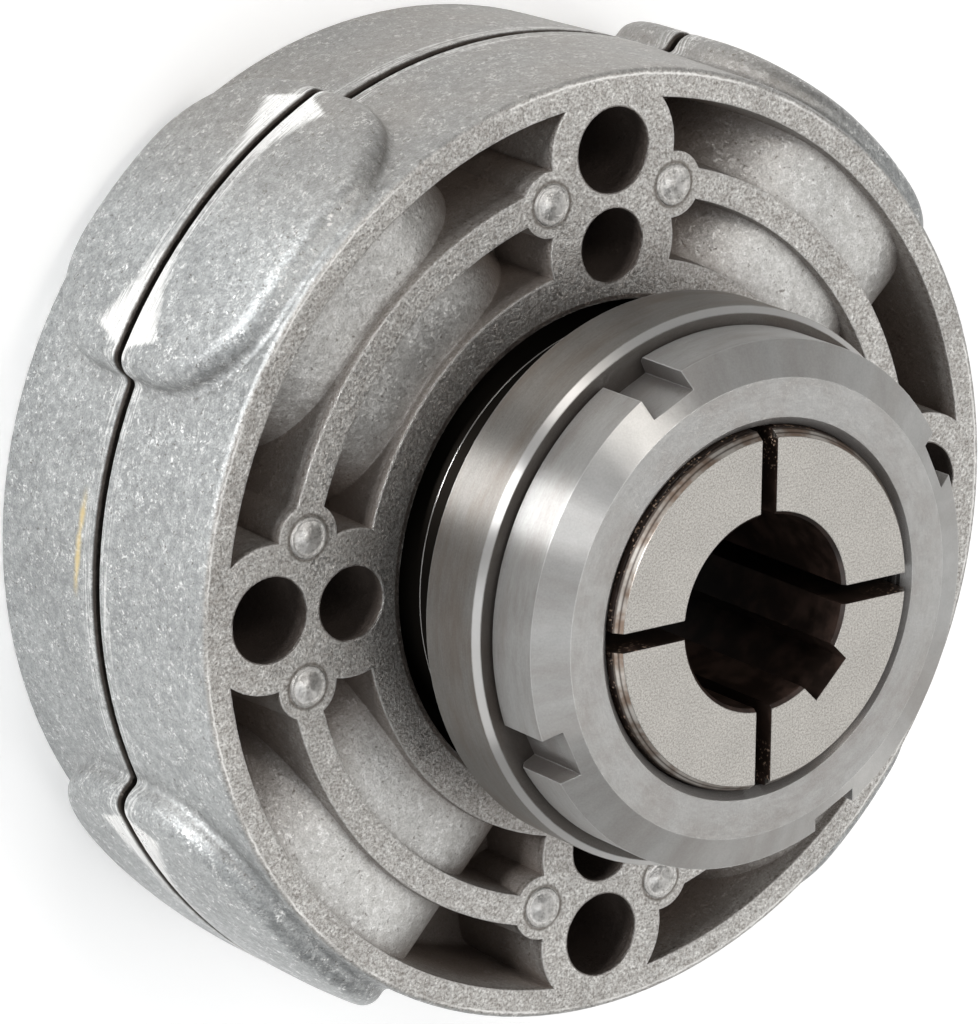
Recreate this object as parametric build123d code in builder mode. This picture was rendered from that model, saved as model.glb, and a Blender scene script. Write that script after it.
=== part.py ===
from build123d import *
from math import hypot, radians, tan
import os

# Torsionally flexible shaft coupling. A die-cast housing in two equal halves holds rubber
# cushions in four barrel-shaped pockets. The hub inside reaches into each pocket with an arm,
# and it clamps its shaft with a split taper sleeve that a slotted ring nut draws forwards.
# The shaft axis is +Z. The housing stands on its rear face, whose centre is the origin.
# +Y points to the 12 o'clock pad and +X to the 3 o'clock pad.
# Lengths are in millimetres and angles in degrees.

# Housing, both halves. Its rings and windows are named outwards from the hub's neck.
housing_width = 55.0
neck_gap = 3.5
ring_wall = 6.3
inner_window_width = 9.8
rib_width = 4.7
outer_window_width = 10.4
rim_width = 4.5
wall_lean = 0.7
outer_window_depth = 21.0
inner_window_depth = 14.0
window_draft = 3.5
window_floor_round = 1.2
rim_edge_round = 0.8
seam_relief = 0.7
seam_land_inset = 5.4
seam_edge_chamfer = 0.5

# Pads round the bolt holes, and the bosses beside them on the middle rib.
# Both circles of bolt holes lie a little inside the middle of their windows.
pad_count = 4
pad_radius = 11.6
pad_draft = 2.0
bolt_circle_inset = 2.5
outer_bolt_hole = 13.4
inner_bolt_hole = 11.6
boss_inset = 0.5
boss_offset = 11.6
boss_radius = 5.2

# Barrel-shaped pockets between the pads
pocket_angle = 45.0
pocket_root_half_width = 24.6
pocket_root_inset = 1.6
pocket_flare = 2.8
pocket_tip_inset = 2.2
pocket_tip_overrun = 6.3
pocket_corner = 18.5
pocket_wall = 4.0
cap_rise = 4.3
cap_half_land = 8.0
cap_fall = 2.0
cap_lean = 1.0
cap_overrun = 3.0
barrel_end_round = 3.2
barrel_blend_round = 1.2

# Hub
hub_rear_height = 4.0
neck_wall = 7.5
collar_step = 7.55
collar_gap = 11.6
collar_length = 13.2
collar_chamfer = 1.0
mouth_depth = 4.8
bore_overrun = 1.0
arm_thickness = 14.0
arm_end_gap = 10.0
arm_tip_gap = 5.2
arm_tip_round = 3.0
arm_root_round = 3.0

# Taper seat between hub and sleeve, 1 in 12 on the diameter
taper_ratio = 12.0
taper_front_radius = 28.5
seat_clearance = 0.05

# Split taper sleeve
shaft_diameter = 30.0
sleeve_rear_inset = 3.0
sleeve_stand_out = 1.45
sleeve_thread_step = 0.5
sleeve_face_step = 1.1
sleeve_chamfer_height = 1.4
sleeve_edge_chamfer = 0.8
sleeve_bore_chamfer = 0.6
sleeve_undercut_depth = 0.6
sleeve_undercut_length = 2.5
slit_count = 4
slit_width = 3.0
slit_rear_web = 14.0
slit_relief_radius = 2.5
key_width = 8.0
key_groove_depth = 3.3
key_angle = -45.0

# Slotted ring nut
nut_step = 2.55
nut_length = 12.6
nut_thread_clearance = 0.3
nut_bevel_width = 5.4
nut_bevel_height = 2.6
nut_mouth_chamfer = 1.3
nut_rear_chamfer = 0.8
nut_seat_gap = 0.05
nut_slot_count = 4
nut_slot_width = 8.0
nut_slot_depth = 3.2
nut_slot_angle = 25.5

# Rubber cushions, one on each side of each arm
cushion_clearance = 0.3
cushion_ring_gap = 0.2

# Hollow dowels that line up the two halves round the inner bolt holes
dowel_wall = 1.0
dowel_length = 14.0
dowel_end_gap = 0.5
dowel_fit = 0.02

# Radii of the hub and of the housing round it, from the taper outwards
neck_radius = taper_front_radius + neck_wall
collar_radius = neck_radius + collar_step
ring_bore_radius = neck_radius + neck_gap
ring_outer_radius = ring_bore_radius + ring_wall
rib_inner_radius = ring_outer_radius + inner_window_width
rib_outer_radius = rib_inner_radius + rib_width
rim_inner_radius = rib_outer_radius + outer_window_width
housing_face_radius = rim_inner_radius + rim_width
housing_seam_radius = housing_face_radius + wall_lean
seam_land_radius = housing_seam_radius - seam_land_inset
pocket_tip_half_width = pocket_root_half_width + pocket_flare
cap_radius = housing_seam_radius + cap_rise
arm_tip_radius = cap_radius - pocket_wall - arm_tip_gap
outer_hole_distance = (rib_outer_radius + rim_inner_radius) / 2 - bolt_circle_inset
inner_hole_distance = (ring_outer_radius + rib_inner_radius) / 2 - bolt_circle_inset
dowel_radius = inner_bolt_hole / 2 + dowel_wall
housing_outline = 2 * housing_face_radius
wall_band = wall_lean / 8

# Heights along the shaft, from the housing forwards
seam_height = housing_width / 2
arm_height = housing_width - 2 * arm_end_gap
collar_rear_height = housing_width + collar_gap
collar_front_height = collar_rear_height + collar_length
taper_front_height = collar_front_height - mouth_depth
nut_rear_height = collar_front_height + nut_seat_gap
nut_front_height = nut_rear_height + nut_length
sleeve_front_height = nut_front_height + sleeve_stand_out
sleeve_rear_height = hub_rear_height + sleeve_rear_inset
slit_end_height = sleeve_rear_height + slit_rear_web

# Radii of the sleeve and the nut
shaft_radius = shaft_diameter / 2
sleeve_thread_radius = taper_front_radius - sleeve_thread_step
sleeve_face_radius = sleeve_thread_radius - sleeve_face_step
nut_bore_radius = sleeve_thread_radius + nut_thread_clearance
nut_radius = collar_radius - nut_step
nut_face_radius = nut_radius - nut_bevel_width
nut_slot_floor_radius = nut_radius - nut_slot_depth


def taper_radius(height):
    """Radius of the sleeve's taper at a height. It widens towards the rear."""
    return taper_front_radius + (taper_front_height - height) / (2 * taper_ratio)


def beyond(distance):
    """Chooses edges whose middle lies further out along +X than a distance."""
    return lambda edge: edge.center().X > distance


def from_axis(edge):
    """Distance of an edge's middle from the shaft axis."""
    return hypot(edge.center().X, edge.center().Y)


def on_wall(edge):
    """Tells whether an edge's middle lies on the round outer wall of the housing."""
    return housing_face_radius - wall_band < from_axis(edge) < housing_seam_radius + wall_band


def outside_land(edge):
    """Tells whether an edge's middle lies outside the land on which the halves meet."""
    return from_axis(edge) > housing_face_radius - wall_band


def pocket_form(inset):
    """Barrel of one pocket along +X. With the wall's thickness as inset it is the inside."""
    root = Plane(origin=(neck_radius, 0, seam_height), x_dir=(0, 1, 0), z_dir=(1, 0, 0))
    tip_distance = cap_radius + pocket_tip_overrun
    tip = Plane(origin=(tip_distance, 0, seam_height), x_dir=(0, 1, 0), z_dir=(1, 0, 0))
    corner = pocket_corner - inset
    cap = cap_radius - inset
    edge = cap - cap_fall
    land_top = seam_height + cap_half_land
    land_bottom = seam_height - cap_half_land
    with BuildPart() as form:
        with BuildSketch(root):
            RectangleRounded(
                2 * (pocket_root_half_width - inset),
                2 * (seam_height - pocket_root_inset - inset),
                corner,
            )
        with BuildSketch(tip):
            RectangleRounded(
                2 * (pocket_tip_half_width - inset),
                2 * (seam_height - pocket_tip_inset - inset),
                corner,
            )
        loft()
        # crowned outer end, turned about the shaft axis
        with BuildSketch(Plane.XZ):
            with BuildLine():
                Line((cap, land_bottom), (cap, land_top))
                TangentArc((cap, land_top), (edge, housing_width), tangent=(0, 1))
                TangentArc((cap, land_bottom), (edge, 0), tangent=(0, -1))
                Polyline(
                    (edge, housing_width),
                    (edge - cap_lean, housing_width + cap_overrun),
                    (0, housing_width + cap_overrun),
                    (0, -cap_overrun),
                    (edge - cap_lean, -cap_overrun),
                    (edge, 0),
                )
            make_face()
        revolve(axis=Axis.Z, mode=Mode.INTERSECT)
    return form.part


def window_ring(outer, inner, depth):
    """Ring-shaped recess with drafted walls, sunk from the front face."""
    lean = depth * tan(radians(window_draft))
    floor = housing_width - depth
    with BuildPart() as ring:
        with BuildSketch(Plane.XZ) as section:
            with BuildLine():
                Polyline(
                    (inner, housing_width + rim_edge_round),
                    (inner, housing_width),
                    (inner + lean, floor),
                    (outer - lean, floor),
                    (outer, housing_width),
                    (outer, housing_width + rim_edge_round),
                    close=True,
                )
            make_face()
            fillet(section.vertices().group_by(Axis.Y)[0], window_floor_round)
        revolve(axis=Axis.Z)
    return ring.part


# Outside of one barrel, with its end rounded. The inside is left plain, because it is hidden.
with BuildPart() as barrel:
    add(pocket_form(0))
    crown_edges = barrel.edges().filter_by(beyond(housing_face_radius - barrel_end_round))
    fillet(crown_edges, barrel_end_round)

pocket_inside = pocket_form(pocket_wall)
outer_recess = window_ring(rim_inner_radius, rib_outer_radius, outer_window_depth)
inner_recess = window_ring(rib_inner_radius, ring_outer_radius, inner_window_depth)

# Pads and side bosses: what the recesses leave standing round the bolt holes
with BuildPart() as pads:
    with BuildSketch(Plane.XY.offset(housing_width)):
        with PolarLocations(outer_hole_distance, pad_count):
            Circle(pad_radius)
        with PolarLocations(inner_hole_distance, pad_count):
            Circle(pad_radius)
        with PolarLocations(rib_inner_radius + boss_inset, pad_count):
            with Locations((0, boss_offset), (0, -boss_offset)):
                Circle(boss_radius)
    extrude(amount=-(outer_window_depth + pocket_wall), taper=-pad_draft)
    extrude(pads.faces().group_by(Axis.Z)[-1], amount=2 * rim_edge_round)

# Windows: the recesses less the pads and less the barrels that rise into them
with BuildPart() as windows:
    add(outer_recess)
    add(inner_recess)
    add(pads.part, mode=Mode.SUBTRACT)
    with PolarLocations(0, pad_count, start_angle=pocket_angle):
        add(barrel.part, mode=Mode.SUBTRACT)

# Front half of the housing
with BuildPart() as front_half:
    with BuildSketch(Plane.XZ):
        with BuildLine():
            Polyline(
                (ring_bore_radius, seam_height),
                (housing_seam_radius, seam_height),
                (housing_face_radius, housing_width),
                (ring_bore_radius, housing_width),
                close=True,
            )
        make_face()
    revolve(axis=Axis.Z)
    with PolarLocations(0, pad_count, start_angle=pocket_angle):
        add(barrel.part)
    # nothing reaches past the seam or into the bore
    with BuildSketch(Plane.XY.offset(seam_height)):
        Circle(housing_outline)
        Circle(ring_bore_radius, mode=Mode.SUBTRACT)
    extrude(amount=housing_width, mode=Mode.INTERSECT)
    # soft blend where each barrel swells out of the round wall
    wall_edges = front_half.edges().filter_by(on_wall)
    fillet(wall_edges.filter_by(GeomType.BSPLINE), barrel_blend_round)
    # the outer wall stops short of the seam, so that the pads meet first
    with BuildSketch(Plane.XY.offset(seam_height)):
        Circle(housing_outline)
        Circle(seam_land_radius, mode=Mode.SUBTRACT)
    extrude(amount=seam_relief, mode=Mode.SUBTRACT)
    lowest_outer = front_half.edges().filter_by(outside_land).group_by(Axis.Z)[0]
    chamfer(lowest_outer, seam_edge_chamfer)
    face_edges = front_half.edges().filter_by(GeomType.CIRCLE).group_by(Axis.Z)[-1]
    fillet(face_edges.sort_by(SortBy.RADIUS)[-1], rim_edge_round)
    add(windows.part, mode=Mode.SUBTRACT)
    with PolarLocations(0, pad_count, start_angle=pocket_angle):
        add(pocket_inside, mode=Mode.SUBTRACT)
    # bolt holes, with a seat for the hollow dowel at the seam round each inner one
    with BuildSketch(Plane.XY.offset(seam_height)):
        with PolarLocations(outer_hole_distance, pad_count):
            Circle(outer_bolt_hole / 2)
        with PolarLocations(inner_hole_distance, pad_count):
            Circle(inner_bolt_hole / 2)
    extrude(amount=housing_width, mode=Mode.SUBTRACT)
    with BuildSketch(Plane.XY.offset(seam_height)):
        with PolarLocations(inner_hole_distance, pad_count):
            Circle(dowel_radius + dowel_fit)
    extrude(amount=dowel_length / 2 + dowel_end_gap, mode=Mode.SUBTRACT)

# Rear half: the same casting, turned over
with BuildPart() as rear_half:
    add(front_half.part)
    mirror(about=Plane.XY.offset(seam_height), mode=Mode.REPLACE)

# Hub: bored tube and collar, with four arms that reach into the pockets
with BuildPart() as arm:
    with BuildSketch(Plane.YZ.offset(taper_radius(hub_rear_height))):
        with Locations((0, seam_height)):
            Rectangle(arm_thickness, arm_height)
    extrude(amount=arm_tip_radius - taper_radius(hub_rear_height))
    fillet(arm.edges().filter_by(beyond(arm_tip_radius - arm_tip_round)), arm_tip_round)

with BuildPart() as hub:
    with BuildSketch(Plane.XZ):
        with BuildLine():
            Polyline(
                (taper_front_radius / 2, hub_rear_height),
                (neck_radius - collar_chamfer, hub_rear_height),
                (neck_radius, hub_rear_height + collar_chamfer),
                (neck_radius, collar_rear_height),
                (collar_radius - collar_chamfer, collar_rear_height),
                (collar_radius, collar_rear_height + collar_chamfer),
                (collar_radius, collar_front_height - collar_chamfer),
                (collar_radius - collar_chamfer, collar_front_height),
                (taper_front_radius / 2, collar_front_height),
                close=True,
            )
        make_face()
    revolve(axis=Axis.Z)
    with PolarLocations(0, pad_count, start_angle=pocket_angle):
        add(arm.part)
    fillet(hub.edges(Select.NEW), arm_root_round)
    # bore: taper seat, then a plain mouth in front of it
    bore_rear_height = hub_rear_height - bore_overrun
    bore_front_height = collar_front_height + bore_overrun
    with BuildSketch(Plane.XZ):
        with BuildLine():
            Polyline(
                (0, bore_rear_height),
                (taper_radius(bore_rear_height) + seat_clearance, bore_rear_height),
                (taper_front_radius + seat_clearance, taper_front_height),
                (taper_front_radius + seat_clearance, bore_front_height),
                (0, bore_front_height),
                close=True,
            )
        make_face()
    revolve(axis=Axis.Z, mode=Mode.SUBTRACT)

# Split taper sleeve that clamps the shaft
with BuildPart() as sleeve:
    with BuildSketch(Plane.XZ):
        with BuildLine():
            Polyline(
                (shaft_radius, sleeve_rear_height + sleeve_bore_chamfer),
                (shaft_radius + sleeve_bore_chamfer, sleeve_rear_height),
                (taper_radius(sleeve_rear_height) - sleeve_edge_chamfer, sleeve_rear_height),
                (
                    taper_radius(sleeve_rear_height + sleeve_edge_chamfer),
                    sleeve_rear_height + sleeve_edge_chamfer,
                ),
                (taper_front_radius, taper_front_height),
                (sleeve_thread_radius - sleeve_undercut_depth, taper_front_height),
                (sleeve_thread_radius - sleeve_undercut_depth, taper_front_height + sleeve_undercut_length),
                (sleeve_thread_radius, taper_front_height + sleeve_undercut_length),
                (sleeve_thread_radius, sleeve_front_height - sleeve_chamfer_height),
                (sleeve_face_radius, sleeve_front_height),
                (shaft_radius + sleeve_bore_chamfer, sleeve_front_height),
                (shaft_radius, sleeve_front_height - sleeve_bore_chamfer),
                close=True,
            )
        make_face()
    revolve(axis=Axis.Z)
    # slits from the front face, each ending in a round relief hole
    with BuildSketch(Plane.XZ):
        with Locations((0, (slit_end_height + sleeve_front_height) / 2)):
            Rectangle(slit_width, sleeve_front_height - slit_end_height)
        with Locations((0, slit_end_height)):
            Circle(slit_relief_radius)
    slit = extrude(amount=2 * neck_radius, both=True, mode=Mode.PRIVATE)
    with PolarLocations(0, slit_count // 2, angular_range=180):
        add(slit, mode=Mode.SUBTRACT)
    # key groove, the whole length of the bore
    with BuildSketch(Plane.XY.offset(sleeve_rear_height)):
        with PolarLocations((shaft_radius + key_groove_depth) / 2, 1, start_angle=key_angle):
            Rectangle(shaft_radius + key_groove_depth, key_width)
    extrude(amount=sleeve_front_height - sleeve_rear_height, mode=Mode.SUBTRACT)

# Slotted ring nut on the sleeve's thread, bearing on the hub's collar
with BuildPart() as nut:
    with BuildSketch(Plane.XZ):
        with BuildLine():
            Polyline(
                (nut_bore_radius, nut_rear_height),
                (nut_radius - nut_rear_chamfer, nut_rear_height),
                (nut_radius, nut_rear_height + nut_rear_chamfer),
                (nut_radius, nut_front_height - nut_bevel_height),
                (nut_face_radius, nut_front_height),
                (nut_bore_radius + nut_mouth_chamfer, nut_front_height),
                (nut_bore_radius, nut_front_height - nut_mouth_chamfer),
                close=True,
            )
        make_face()
    revolve(axis=Axis.Z)
    slot_middle = nut_slot_floor_radius + nut_radius / 2
    with BuildSketch(Plane.XY.offset(nut_rear_height)):
        with PolarLocations(slot_middle, nut_slot_count, start_angle=nut_slot_angle):
            Rectangle(nut_radius, nut_slot_width)
    extrude(amount=nut_front_height - nut_rear_height, mode=Mode.SUBTRACT)

# Rubber cushion on the left of an arm that points along +X
with BuildPart() as cushion:
    add(pocket_form(pocket_wall + cushion_clearance))
    with BuildSketch(Plane.XY):
        with Locations((ring_outer_radius + cushion_ring_gap, arm_thickness / 2 + cushion_clearance)):
            Rectangle(housing_face_radius, housing_face_radius, align=(Align.MIN, Align.MIN))
    extrude(amount=housing_width, mode=Mode.INTERSECT)

with BuildPart() as dowel:
    with BuildSketch(Plane.XY.offset(seam_height)):
        with Locations((inner_hole_distance, 0)):
            Circle(dowel_radius)
            Circle(inner_bolt_hole / 2, mode=Mode.SUBTRACT)
    extrude(amount=dowel_length / 2, both=True)


def write_piece(piece, name):
    """Names one piece and writes it to its own file."""
    piece.label = name
    export_step(piece, f"parts/{name}.step")


def turned(piece, angle):
    """The piece turned about the shaft axis."""
    with BuildPart() as result:
        with PolarLocations(0, 1, start_angle=angle):
            add(piece)
    return result.part


with BuildPart() as right_cushion:
    add(cushion.part)
    mirror(about=Plane.XZ, mode=Mode.REPLACE)

os.makedirs("parts", exist_ok=True)
write_piece(front_half.part, "front_housing_half")
write_piece(rear_half.part, "rear_housing_half")
write_piece(hub.part, "hub")
write_piece(sleeve.part, "clamping_sleeve")
write_piece(nut.part, "ring_nut")
for index in range(pad_count):
    pocket = pocket_angle + 360 / pad_count * index
    write_piece(turned(cushion.part, pocket), f"cushion_{index + 1}_left")
    write_piece(turned(right_cushion.part, pocket), f"cushion_{index + 1}_right")
    write_piece(turned(dowel.part, 360 / pad_count * index), f"hollow_dowel_{index + 1}")
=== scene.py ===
# %% [markdown]
# # A flexible shaft coupling, dressed in Blender
# The solids of the coupling come from a CAD program: two halves of a die-cast housing, a hub
# with a collar, a slotted ring nut, a split taper sleeve, rubber cushions and hollow dowels.
# This lesson keeps those solids as they are and gives them what the real coupling shows: grainy
# cast aluminium, turned steel with its fine rings, screw threads, soil and a stain. Some light and
# shade is painted into the colours as well: in corners and holes, on edges and in a few glints.
# Blender counts in metres. A length that reads better in millimetres is multiplied by MM. The
# shaft axis is +Z, and the coupling stands on its rear face at z = 0.

# %% Load the solids
import math
import random

import bmesh
import bpy
from mathutils import Matrix, Vector


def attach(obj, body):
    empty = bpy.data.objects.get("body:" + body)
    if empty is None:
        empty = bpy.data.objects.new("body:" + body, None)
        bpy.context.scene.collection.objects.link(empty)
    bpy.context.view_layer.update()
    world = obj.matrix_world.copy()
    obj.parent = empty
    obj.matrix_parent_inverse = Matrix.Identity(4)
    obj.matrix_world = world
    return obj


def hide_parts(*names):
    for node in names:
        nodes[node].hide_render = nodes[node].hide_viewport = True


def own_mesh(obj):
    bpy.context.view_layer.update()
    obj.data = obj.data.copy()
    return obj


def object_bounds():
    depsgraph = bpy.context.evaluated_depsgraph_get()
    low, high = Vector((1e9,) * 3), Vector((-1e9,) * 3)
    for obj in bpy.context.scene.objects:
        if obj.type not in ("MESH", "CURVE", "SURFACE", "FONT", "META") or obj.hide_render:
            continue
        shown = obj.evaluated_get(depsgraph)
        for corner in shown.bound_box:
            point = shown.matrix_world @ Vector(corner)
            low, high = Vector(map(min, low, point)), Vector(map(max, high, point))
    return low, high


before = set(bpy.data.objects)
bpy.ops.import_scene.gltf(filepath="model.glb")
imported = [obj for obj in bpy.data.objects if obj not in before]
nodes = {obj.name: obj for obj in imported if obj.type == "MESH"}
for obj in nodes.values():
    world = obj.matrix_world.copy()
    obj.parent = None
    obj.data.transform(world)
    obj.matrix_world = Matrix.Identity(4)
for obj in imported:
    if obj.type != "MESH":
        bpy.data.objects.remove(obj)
cad_low, cad_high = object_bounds()
MM = 0.001
print("solids:", len(nodes), "box in mm:", [round(v / MM, 1) for v in cad_high - cad_low])

# %% [markdown]
# ## The camera
# The photograph was taken from far away with a long lens, so its perspective is weak. The
# camera's place and turn were worked out from points that are easy to find on the real object,
# such as the centres of the bolt holes and the rims of the nut. A camera could be placed by eye,
# but then no edge would lie where the photograph has it. The turn is written as one vector, which
# points along the axis of the turn and is as long as its angle. The shift says where the middle
# of the front face lies as the camera sees it. Blender is given the matrix made from the two.

# %% Camera
FRONT_FACE = 55 * MM
CAMERA_TURN = Vector((0.2853778541984066, 0.6348712330574745, 0.08361064003404116))
CAMERA_SHIFT_MM = Vector((18.17485929536336, -5.749997567464572, -982.5989287213308))
FOCAL_PIXELS = 6394.154721256803
PICTURE_HEIGHT_PIXELS = 1024
SENSOR_WIDTH_MM = 36.0

turn = Matrix.Rotation(CAMERA_TURN.length, 3, CAMERA_TURN.normalized())
place = -(turn.transposed() @ CAMERA_SHIFT_MM) * MM + Vector((0, 0, FRONT_FACE))

camera_data = bpy.data.cameras.new("photo_camera")
camera_data.sensor_width = SENSOR_WIDTH_MM
camera_data.sensor_fit = "AUTO"
camera_data.lens = FOCAL_PIXELS * SENSOR_WIDTH_MM / PICTURE_HEIGHT_PIXELS
camera_data.clip_start = 0.05
camera = bpy.data.objects.new("photo_camera", camera_data)
camera.matrix_world = Matrix.Translation(place) @ turn.transposed().to_4x4()
bpy.context.scene.collection.objects.link(camera)
bpy.context.scene.camera = camera
print("camera at", [round(v, 3) for v in place], "lens", round(camera_data.lens, 1), "mm")

# %% [markdown]
# ## The lamps
# Six soft panels light the coupling. A bright one low at the side lights the outer wall and draws
# the long highlights on the turned steel. Two small ones over the 12 o'clock pad give the casting
# its shape, and three wide, weak ones open the shadows in the windows. One sun would leave the
# windows black, and turned steel looks like steel only when it has bright panels to reflect. Each
# panel is placed as a photographer would say it, by its angle round the coupling, its angle above
# the floor and its distance.

# %% Lamps
middle = (cad_low + cad_high) / 2


def outward(degrees):
    """Level direction away from the shaft axis. 0 degrees is +X and 90 degrees is +Y."""
    return Vector((math.cos(math.radians(degrees)), math.sin(math.radians(degrees)), 0))


def studio_lamp(name, azimuth, elevation, distance, width, height, brightness, hue):
    """Soft panel that faces the coupling. Its brightness is its surface's, where 1 is white."""
    panel = bpy.data.lights.new(name, "AREA")
    panel.shape = "RECTANGLE"
    panel.size = width
    panel.size_y = height
    panel.energy = brightness * math.pi * width * height
    panel.color = hue
    up = math.radians(elevation)
    away = outward(azimuth) * math.cos(up) + Vector((0, 0, math.sin(up)))
    made = bpy.data.objects.new(name, panel)
    made.location = middle + away * distance
    made.rotation_euler = (middle - made.location).to_track_quat("-Z", "Y").to_euler()
    bpy.context.scene.collection.objects.link(made)


LAMPS = (
    ("strip_lamp", 149.5, 7, 1.4, 0.48, 0.33, 30.0, (0.99, 0.995, 1.0)),
    ("high_lamp", 80, 62, 1.3, 0.36, 0.36, 6.5, (1.0, 0.95, 0.89)),
    ("corner_lamp", 108, 40, 1.4, 0.35, 0.35, 4.0, (1.0, 0.98, 0.95)),
    ("front_panel", -27, 49, 1.6, 2.0, 2.0, 1.08, (1.0, 0.995, 0.985)),
    ("top_panel", 150, 88, 1.5, 1.5, 1.5, 0.75, (0.99, 0.99, 1.0)),
    ("side_panel", 210, 36, 1.5, 1.4, 0.9, 1.2, (0.97, 0.99, 1.0)),
)
for settings in LAMPS:
    studio_lamp(*settings)
print("lamps:", len(LAMPS))

# %% [markdown]
# ## Helpers for node materials
# Every finish is a network of shader nodes. The helpers keep the networks short: one puts down a
# node, one feeds a socket with a number or with another node's result, and the others wrap the
# few kinds of node that are used again and again. Painted images could do the same work, but they
# would need their seams hidden, and a network gives grain that stays sharp close up.

# %% Nodes and sums
def new_finish(name):
    made = bpy.data.materials.new(name)
    made.use_nodes = True
    return made, made.node_tree, made.node_tree.nodes["Principled BSDF"]


def put(tree, kind, **settings):
    """Puts down a node of a kind."""
    made = tree.nodes.new("ShaderNode" + kind)
    for key, value in settings.items():
        setattr(made, key, value)
    return made


def feed(tree, socket, value):
    """Sets a socket to a number or colour, or links another node's result to it."""
    if isinstance(value, bpy.types.NodeSocket):
        tree.links.new(value, socket)
    else:
        socket.default_value = value


def calc(tree, operation, *values, clamp=False):
    made = put(tree, "Math", operation=operation, use_clamp=clamp)
    for socket, value in zip(made.inputs, values):
        feed(tree, socket, value)
    return made.outputs[0]


def product(tree, *values):
    """All the values multiplied together."""
    total = values[0]
    for value in values[1:]:
        total = calc(tree, "MULTIPLY", total, value)
    return total


# %% Steps and colours
def rise(tree, value, start, end):
    """0 before start, 1 after end, with a soft step between. It falls where end is less."""
    made = put(tree, "MapRange", interpolation_type="SMOOTHSTEP")
    feed(tree, made.inputs["Value"], value)
    made.inputs["From Min"].default_value = min(start, end)
    made.inputs["From Max"].default_value = max(start, end)
    made.inputs["To Min"].default_value = 0.0 if start < end else 1.0
    made.inputs["To Max"].default_value = 1.0 if start < end else 0.0
    return made.outputs[0]


def between(tree, value, low, high, soft):
    """1 where the value lies between low and high, fading over soft on either side."""
    up = rise(tree, value, low - soft, low + soft)
    down = rise(tree, value, high + soft, high - soft)
    return product(tree, up, down)


def tint(tree, share, low, high, kind="MIX"):
    """A colour that goes from low to high with the share."""
    made = put(tree, "Mix", data_type="RGBA", blend_type=kind)
    feed(tree, made.inputs[0], share)
    feed(tree, made.inputs[6], low)
    feed(tree, made.inputs[7], high)
    return made.outputs[2]


def cover(tree, colour, share, strength, layer):
    """The colour under a layer of another one, which is as dense as share times strength."""
    return tint(tree, product(tree, share, strength), colour, layer)


# %% [markdown]
# ## The floor and the room
# The coupling stands on a pale floor that fills the whole view, so the floor is also the
# background. More light would make it white, but would wash out the metal as well. So the floor
# glows a little instead, and only where it is seen, straight or as a reflection. Its glow lights
# nothing, and the coupling's shadow on it stays.

# %% Floor and room
FLOOR_REACH = 6.0
FLOOR_GAP = 0.0002
FLOOR_GLOW = 0.27
ROOM_LIGHT = 0.2

floor_mesh = bpy.data.meshes.new("floor")
corner_sides = ((-1, -1), (1, -1), (1, 1), (-1, 1))
corners = [(x * FLOOR_REACH, y * FLOOR_REACH, 0) for x, y in corner_sides]
floor_mesh.from_pydata(corners, [], [(0, 1, 2, 3)])
floor = bpy.data.objects.new("floor", floor_mesh)
floor.location.z = cad_low.z - FLOOR_GAP
bpy.context.scene.collection.objects.link(floor)

pale_floor, tree, shader = new_finish("pale_floor")
shader.inputs["Base Color"].default_value = (0.9, 0.9, 0.9, 1)
shader.inputs["Roughness"].default_value = 0.9
shader.inputs["Emission Color"].default_value = (1, 1, 1, 1)
rays = put(tree, "LightPath").outputs
seen = calc(tree, "MAXIMUM", rays["Is Camera Ray"], rays["Is Glossy Ray"])
seen = calc(tree, "MAXIMUM", seen, rays["Is Transmission Ray"])
feed(tree, shader.inputs["Emission Strength"], product(tree, seen, FLOOR_GLOW))
floor_mesh.materials.append(pale_floor)

room = bpy.data.worlds.new("studio")
room.use_nodes = True
room.node_tree.nodes["Background"].inputs["Color"].default_value = (1, 1, 1, 1)
room.node_tree.nodes["Background"].inputs["Strength"].default_value = ROOM_LIGHT
bpy.context.scene.world = room
bpy.context.scene.view_settings.view_transform = "Standard"
print("floor at", round(floor.location.z / MM, 1), "mm")

# %% [markdown]
# ## Patterns that follow the coupling
# All the finishes are worked out from the place of a point on the coupling: how high it is along
# the shaft, how far from the shaft, and on which side. So stains and painted shade lie in the same
# places and rings run round the same axis at every pose. Noise gives clouds and grain of any size,
# and Voronoi cells give crystals. Where a lathe has cut, the pattern is drawn out into rings, by
# shortening the way round the shaft before the noise is read.

# %% Patterns
def noise(tree, where, size, detail=3.0, roughness=0.55):
    """Cloudy pattern whose patches are about size millimetres across."""
    made = put(tree, "TexNoise")
    feed(tree, made.inputs["Vector"], where)
    made.inputs["Scale"].default_value = 1 / size
    made.inputs["Detail"].default_value = detail
    made.inputs["Roughness"].default_value = roughness
    return made.outputs["Fac"]


def grains(tree, where, size):
    """Random colour for each grain, with grains about size millimetres across."""
    made = put(tree, "TexVoronoi")
    feed(tree, made.inputs["Vector"], where)
    made.inputs["Scale"].default_value = 1 / size
    return made.outputs["Color"]


def chosen(tree, random_colour, start, end):
    """The share of the grains whose random value lies above start, and fully above end."""
    chance = put(tree, "SeparateColor")
    feed(tree, chance.inputs[0], random_colour)
    return rise(tree, chance.outputs[0], start, end)


# %% Vectors
def vector_calc(tree, operation, *values):
    made = put(tree, "VectorMath", operation=operation)
    for socket, value in zip(made.inputs, values):
        feed(tree, socket, value)
    return made.outputs["Value" if operation == "DOT_PRODUCT" else "Vector"]


def stretch(tree, vector, factor):
    """The vector, factor times as long."""
    made = put(tree, "VectorMath", operation="SCALE")
    feed(tree, made.inputs[0], vector)
    feed(tree, made.inputs["Scale"], factor)
    return made.outputs["Vector"]


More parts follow.
